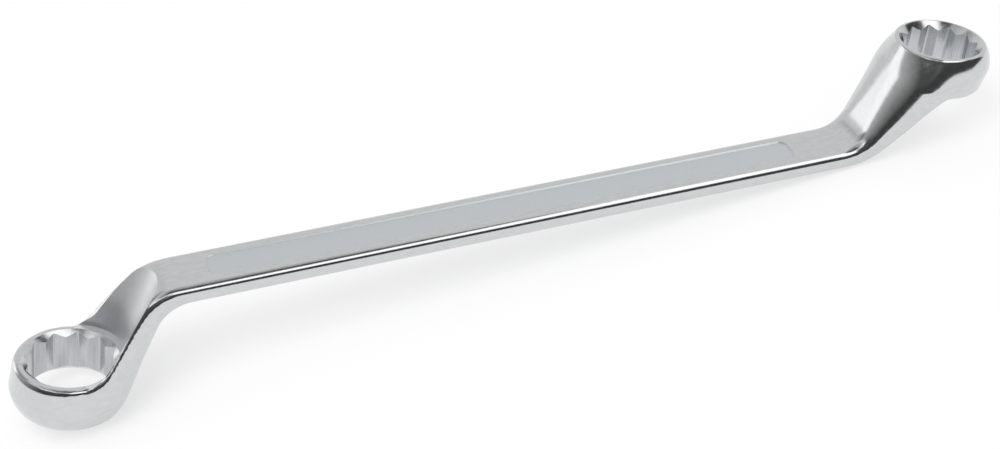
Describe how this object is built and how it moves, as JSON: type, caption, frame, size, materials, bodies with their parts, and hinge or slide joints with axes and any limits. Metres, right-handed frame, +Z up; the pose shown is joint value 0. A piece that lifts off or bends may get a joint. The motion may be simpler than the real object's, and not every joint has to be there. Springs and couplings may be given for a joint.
{
  "type": "offset ring spanner",
  "caption": "Double-ended offset ring spanner: a flat rounded shank cranked up at one end and down at the other, with a twelve-point ring socket on each neck.",
  "frame": {"origin": "middle of the part's length and width, on the bench that it lies on", "axes": "+X along the tool from the large ring to the small ring, +Y across it, +Z up from the bench; the tool lies on the large ring's round edge and on the underside of the bend at the small ring"},
  "size_m": [0.3288, 0.0362, 0.0379],
  "materials": {
    "satin_chrome": "satin chrome plate on forged steel, polished on the rounded edges"
  },
  "bodies": {
    "root": {"spanner_forging": "satin_chrome"}
  },
  "joints": []
}
